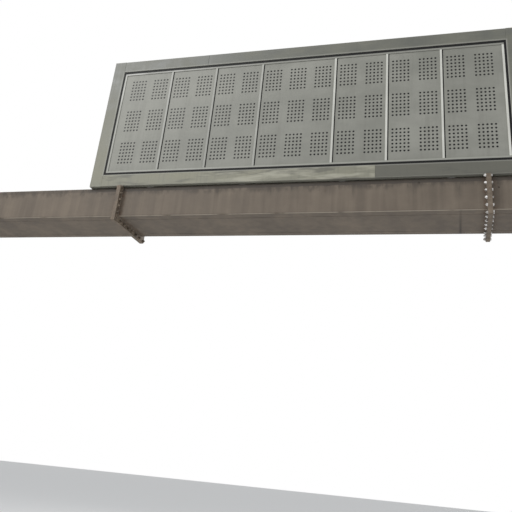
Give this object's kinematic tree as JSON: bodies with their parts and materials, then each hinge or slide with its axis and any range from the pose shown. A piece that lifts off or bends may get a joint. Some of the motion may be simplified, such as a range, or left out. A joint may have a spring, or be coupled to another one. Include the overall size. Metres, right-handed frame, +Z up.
{
  "type": "overhead sign gantry",
  "caption": "Portal gantry of bolted steel box beams on two box legs, carrying a wide lamp sign with a perforated face over a road.",
  "frame": {"origin": "on the ground, midway between the two legs, under the middle of the beam", "axes": "+X along the beam, +Y from the sign's front to its back, +Z up; the sign faces -Y"},
  "size_m": [18.9, 1.33, 8.6909],
  "materials": {
    "beam_steel": "weathered matt paint with dirt streaks",
    "flange_steel": "weathered matt paint",
    "case_paint": "matt grey powder coat",
    "face_paint": "matt grey powder coat",
    "strip_paint": "matt pale grey",
    "dark_parts": "matt black",
    "zinc": "dull hot-dip zinc"
  },
  "bodies": {
    "root": {"leg_left": "beam_steel", "base_plate_left": "beam_steel", "base_stiffeners_left": "beam_steel", "corner_flanges_left": "flange_steel", "splice_flanges_left": "flange_steel", "leg_right": "beam_steel", "base_plate_right": "beam_steel", "base_stiffeners_right": "beam_steel", "corner_flanges_right": "flange_steel", "splice_flanges_right": "flange_steel", "beam_left": "beam_steel", "beam_middle": "beam_steel", "beam_right": "beam_steel", "case_top": "case_paint", "case_bottom": "case_paint", "case_left": "case_paint", "case_right": "case_paint", "case_back": "case_paint", "trim_top": "case_paint", "trim_bottom": "case_paint", "trim_left": "case_paint", "trim_right": "case_paint", "face_panel_1": "face_paint", "face_panel_2": "face_paint", "face_panel_3": "face_paint", "face_panel_4": "face_paint", "face_panel_5": "face_paint", "face_panel_6": "face_paint", "face_panel_7": "face_paint", "inner_frame": "dark_parts", "lamp_boards": "dark_parts", "joint_strips": "strip_paint", "lifting_eyes": "zinc", "case_feet": "zinc", "rear_rails": "zinc", "post_1": "zinc", "post_2": "zinc", "post_3": "zinc", "post_4": "zinc"}
  },
  "joints": []
}
